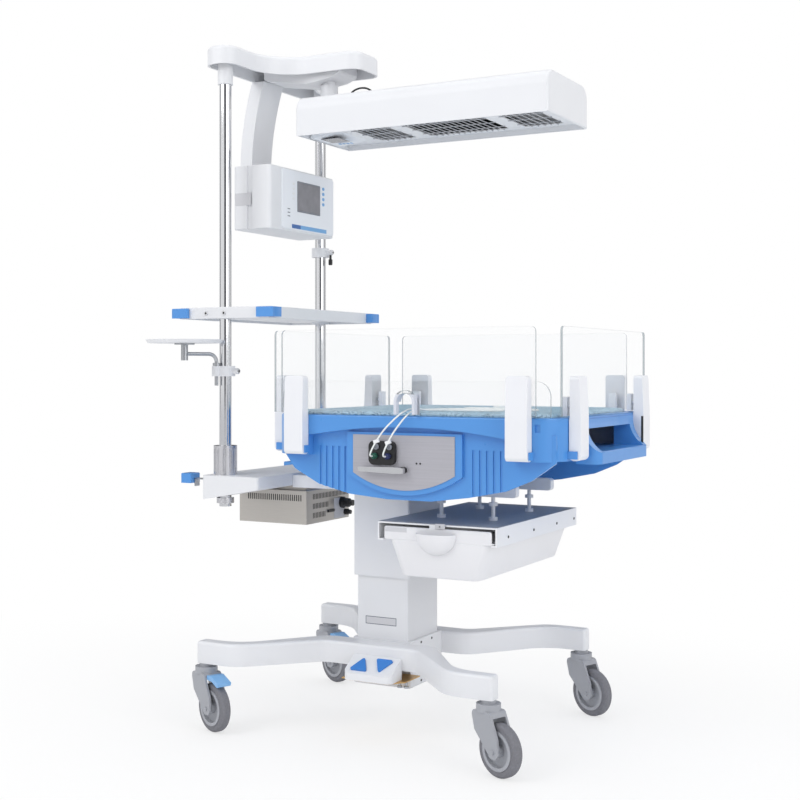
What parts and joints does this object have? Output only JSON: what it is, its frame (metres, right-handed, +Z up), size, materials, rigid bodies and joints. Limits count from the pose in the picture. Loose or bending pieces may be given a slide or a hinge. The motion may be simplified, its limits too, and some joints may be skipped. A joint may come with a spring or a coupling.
{
  "type": "infant radiant warmer",
  "caption": "Mobile infant warmer with an overhead heater on two poles, a tilting open bed with fold-down clear sides, a drawer, and a pedal-raised column on casters.",
  "frame": {"origin": "on the floor under the lift column's axis", "axes": "+Z up, +X to the foot of the bed, +Y to its far side"},
  "size_m": [1.176, 0.801, 1.791],
  "materials": {
    "white_plastic": "satin moulded housing",
    "painted_casting": "white powder-coated casting",
    "painted_steel": "white powder coat",
    "blue_plastic": "glossy moulded blue",
    "grey_plastic": "grey moulded",
    "tyre": "grey tread on a grey disc",
    "chrome": "bright tube",
    "steel": "bare steel",
    "silver": "satin silver plate",
    "clear": "clear acrylic",
    "lever": "light grey moulded",
    "black_plastic": "black moulded",
    "display": "membrane panel",
    "foam": "soft covered foam",
    "lead": "white flexible lead",
    "cable": "black cable",
    "element": "quartz tube"
  },
  "bodies": {
    "base": {"base_block": "painted_casting", "base_legs": "painted_casting", "inner_column": "painted_steel", "lift_motor": "steel", "pedal_housing": "white_plastic"},
    "lift": {"column_sleeve": "painted_steel", "lift_rod": "steel", "cross_beam": "white_plastic", "power_box": "white_plastic", "left_pole": "chrome", "right_pole": "chrome", "pole_sockets": "white_plastic", "yoke": "white_plastic", "controller_arm": "white_plastic", "controller_housing": "white_plastic", "controller_panel": "display", "shelf": "white_plastic", "bumpers": "blue_plastic", "pole_clamps": "white_plastic", "support_bars": "painted_steel", "drawer_cover": "painted_steel"},
    "tray": {"tray_arm": "steel", "round_tray": "white_plastic"},
    "drawer": {"drawer": "white_plastic"},
    "heater": {"heater_swivel": "white_plastic", "heater_housing": "white_plastic", "heater_reflector": "silver", "heater_grilles": "steel", "heater_element": "element", "heater_display": "display", "heater_cable": "cable"},
    "bed": {"bassinet_hull": "blue_plastic", "bed_deck": "white_plastic", "mattress": "foam", "control_plate": "silver", "bed_fittings": "black_plastic", "lead_ends": "black_plastic", "green_lead": "lead", "blue_lead": "lead"},
    "tilt_lever": {"tilt_handle": "chrome"},
    "raise_pedal": {"pedal_raise": "blue_plastic"},
    "lower_pedal": {"pedal_lower": "blue_plastic"},
    "front_side": {"front_panel": "clear", "front_levers": "lever"},
    "back_side": {"back_panel": "clear", "back_levers": "lever"},
    "head_side": {"head_panel": "clear", "head_levers": "lever"},
    "foot_side": {"foot_panel": "clear", "foot_levers": "lever"},
    "front_head_fork": {"caster_fork_front_head": "grey_plastic"},
    "front_head_wheel": {"caster_wheel_front_head": "tyre"},
    "front_head_brake": {"brake_pedal_front_head": "blue_plastic"},
    "front_foot_fork": {"caster_fork_front_foot": "grey_plastic"},
    "front_foot_wheel": {"caster_wheel_front_foot": "tyre"},
    "back_head_fork": {"caster_fork_back_head": "grey_plastic"},
    "back_head_wheel": {"caster_wheel_back_head": "tyre"},
    "back_head_brake": {"brake_pedal_back_head": "blue_plastic"},
    "back_foot_fork": {"caster_fork_back_foot": "grey_plastic"},
    "back_foot_wheel": {"caster_wheel_back_foot": "tyre"}
  },
  "joints": [
    {"name": "lift", "type": "slide", "parent": "base", "child": "lift", "axis": [0, 0, 1], "range_m": [-0.118, 0.095]},
    {"name": "tray_swing", "type": "hinge", "parent": "lift", "child": "tray", "pos_m": [-0.402, -0.265, 0.93], "axis": [0, 0, 1], "range_deg": [-20, 30]},
    {"name": "drawer_slide", "type": "slide", "parent": "lift", "child": "drawer", "axis": [0, 1, 0], "range_m": [-0.35, 0]},
    {"name": "heater_swing", "type": "hinge", "parent": "lift", "child": "heater", "pos_m": [-0.215, 0, 1.7], "axis": [0, 0, 1], "range_deg": [-90, 90]},
    {"name": "bed_tilt", "type": "hinge", "parent": "lift", "child": "bed", "pos_m": [0.194, 0, 0.69], "axis": [0, 1, 0], "range_deg": [-10, 10]},
    {"name": "tilt_lever", "type": "hinge", "parent": "bed", "child": "tilt_lever", "pos_m": [0.186, -0.33, 0.696], "axis": [0, -1, 0], "range_deg": [0, 30], "stiffness_Nm_per_rad": 1.5, "springref_deg": -8.59},
    {"name": "raise_pedal", "type": "hinge", "parent": "base", "child": "raise_pedal", "pos_m": [-0.0035, -0.1689, 0.1975], "axis": [1, 0, 0], "range_deg": [0, 5], "stiffness_Nm_per_rad": 1, "springref_deg": -4.58},
    {"name": "lower_pedal", "type": "hinge", "parent": "base", "child": "lower_pedal", "pos_m": [0.0555, -0.1689, 0.1975], "axis": [1, 0, 0], "range_deg": [0, 5], "stiffness_Nm_per_rad": 1, "springref_deg": -4.58},
    {"name": "front_fold", "type": "hinge", "parent": "bed", "child": "front_side", "pos_m": [0, -0.34, 0.741], "axis": [1, 0, 0], "range_deg": [0, 170]},
    {"name": "back_fold", "type": "hinge", "parent": "bed", "child": "back_side", "pos_m": [0, 0.34, 0.741], "axis": [-1, 0, 0], "range_deg": [0, 170]},
    {"name": "head_fold", "type": "hinge", "parent": "bed", "child": "head_side", "pos_m": [-0.208, 0, 0.741], "axis": [0, -1, 0], "range_deg": [0, 10]},
    {"name": "foot_fold", "type": "hinge", "parent": "bed", "child": "foot_side", "pos_m": [0.598, 0, 0.741], "axis": [0, 1, 0], "range_deg": [0, 170]},
    {"name": "front_head_swivel", "type": "hinge", "parent": "base", "child": "front_head_fork", "pos_m": [-0.404, -0.306, 0.173], "axis": [0, 0, 1], "continuous": true},
    {"name": "front_head_spin", "type": "hinge", "parent": "front_head_fork", "child": "front_head_wheel", "pos_m": [-0.36691, -0.32098, 0.0625], "axis": [0.3746, 0.9272, 0], "continuous": true},
    {"name": "front_head_brake", "type": "hinge", "parent": "front_head_fork", "child": "front_head_brake", "pos_m": [-0.37127, -0.31922, 0.136], "axis": [0.3746, 0.9272, 0], "range_deg": [0, 5]},
    {"name": "front_foot_swivel", "type": "hinge", "parent": "base", "child": "front_foot_fork", "pos_m": [0.404, -0.306, 0.173], "axis": [0, 0, 1], "continuous": true},
    {"name": "front_foot_spin", "type": "hinge", "parent": "front_foot_fork", "child": "front_foot_wheel", "pos_m": [0.44109, -0.32098, 0.0625], "axis": [0.3746, 0.9272, 0], "continuous": true},
    {"name": "back_head_swivel", "type": "hinge", "parent": "base", "child": "back_head_fork", "pos_m": [-0.404, 0.306, 0.173], "axis": [0, 0, 1], "continuous": true},
    {"name": "back_head_spin", "type": "hinge", "parent": "back_head_fork", "child": "back_head_wheel", "pos_m": [-0.36691, 0.29102, 0.0625], "axis": [0.3746, 0.9272, 0], "continuous": true},
    {"name": "back_head_brake", "type": "hinge", "parent": "back_head_fork", "child": "back_head_brake", "pos_m": [-0.37127, 0.29278, 0.136], "axis": [0.3746, 0.9272, 0], "range_deg": [0, 5]},
    {"name": "back_foot_swivel", "type": "hinge", "parent": "base", "child": "back_foot_fork", "pos_m": [0.404, 0.306, 0.173], "axis": [0, 0, 1], "continuous": true},
    {"name": "back_foot_spin", "type": "hinge", "parent": "back_foot_fork", "child": "back_foot_wheel", "pos_m": [0.44109, 0.29102, 0.0625], "axis": [0.3746, 0.9272, 0], "continuous": true}
  ]
}
